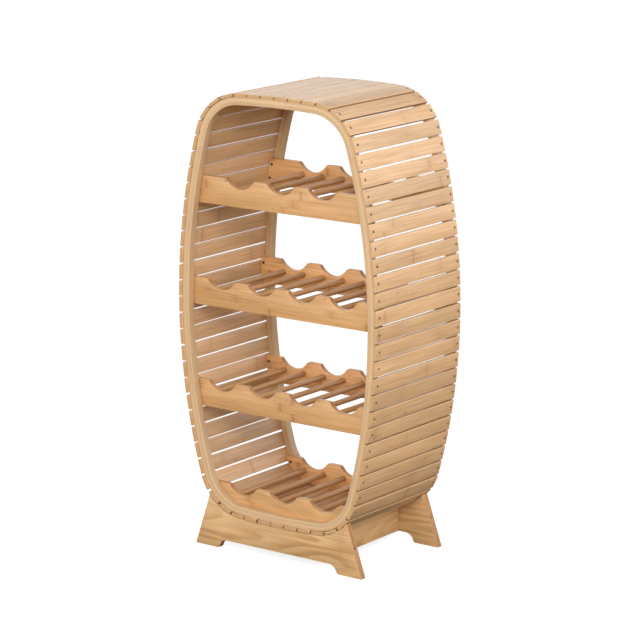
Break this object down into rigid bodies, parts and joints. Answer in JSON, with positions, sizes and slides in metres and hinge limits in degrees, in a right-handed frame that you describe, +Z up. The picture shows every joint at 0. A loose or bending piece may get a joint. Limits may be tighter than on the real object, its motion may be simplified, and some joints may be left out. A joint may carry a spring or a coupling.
{
  "type": "wine rack",
  "caption": "Free-standing barrel-shaped bamboo wine rack: slats round two bent rings, scalloped shelf boards joined by dowels, and a cradle foot.",
  "frame": {"origin": "on the floor under the middle of the rack", "axes": "+Z up, +X to the right seen from the front, +Y from the front to the back, so the front faces -Y"},
  "size_m": [0.4352, 0.254, 0.8301],
  "materials": {
    "slat_bamboo": "clear satin lacquer over carbonised bamboo, fine lengthwise fibres and node marks",
    "ring_bamboo": "clear satin lacquer over bent laminated bamboo, glue lines along the bend",
    "shelf_bamboo": "clear satin lacquer over edge-glued bamboo board",
    "dowel_bamboo": "clear satin lacquer over turned bamboo",
    "base_bamboo": "clear satin lacquer over flat-sawn pale timber with flame grain"
  },
  "bodies": {
    "root": {"front_ring": "ring_bamboo", "rear_ring": "ring_bamboo", "shelf_1_front_board": "shelf_bamboo", "shelf_1_rear_board": "shelf_bamboo", "shelf_1_dowel_1": "dowel_bamboo", "shelf_1_dowel_2": "dowel_bamboo", "shelf_1_dowel_3": "dowel_bamboo", "shelf_1_dowel_4": "dowel_bamboo", "shelf_1_dowel_5": "dowel_bamboo", "shelf_1_dowel_6": "dowel_bamboo", "shelf_2_front_board": "shelf_bamboo", "shelf_2_rear_board": "shelf_bamboo", "shelf_2_dowel_1": "dowel_bamboo", "shelf_2_dowel_2": "dowel_bamboo", "shelf_2_dowel_3": "dowel_bamboo", "shelf_2_dowel_4": "dowel_bamboo", "shelf_2_dowel_5": "dowel_bamboo", "shelf_2_dowel_6": "dowel_bamboo", "shelf_2_dowel_7": "dowel_bamboo", "shelf_2_dowel_8": "dowel_bamboo", "shelf_3_front_board": "shelf_bamboo", "shelf_3_rear_board": "shelf_bamboo", "shelf_3_dowel_1": "dowel_bamboo", "shelf_3_dowel_2": "dowel_bamboo", "shelf_3_dowel_3": "dowel_bamboo", "shelf_3_dowel_4": "dowel_bamboo", "shelf_3_dowel_5": "dowel_bamboo", "shelf_3_dowel_6": "dowel_bamboo", "shelf_3_dowel_7": "dowel_bamboo", "shelf_3_dowel_8": "dowel_bamboo", "shelf_4_front_board": "shelf_bamboo", "shelf_4_rear_board": "shelf_bamboo", "shelf_4_dowel_1": "dowel_bamboo", "shelf_4_dowel_2": "dowel_bamboo", "shelf_4_dowel_3": "dowel_bamboo", "shelf_4_dowel_4": "dowel_bamboo", "shelf_4_dowel_5": "dowel_bamboo", "shelf_4_dowel_6": "dowel_bamboo", "slat_panel_01": "slat_bamboo", "slat_panel_02": "slat_bamboo", "slat_panel_03": "slat_bamboo", "slat_panel_04": "slat_bamboo", "slat_panel_05": "slat_bamboo", "slat_panel_06": "slat_bamboo", "slat_panel_07": "slat_bamboo", "slat_panel_08": "slat_bamboo", "slat_panel_09": "slat_bamboo", "slat_panel_10": "slat_bamboo", "slat_panel_11": "slat_bamboo", "slat_panel_12": "slat_bamboo", "slat_panel_13": "slat_bamboo", "slat_panel_14": "slat_bamboo", "slat_panel_15": "slat_bamboo", "slat_panel_16": "slat_bamboo", "slat_panel_17": "slat_bamboo", "slat_panel_18": "slat_bamboo", "front_foot_board": "base_bamboo", "rear_foot_board": "base_bamboo", "left_stretcher": "base_bamboo", "right_stretcher": "base_bamboo"}
  },
  "joints": []
}
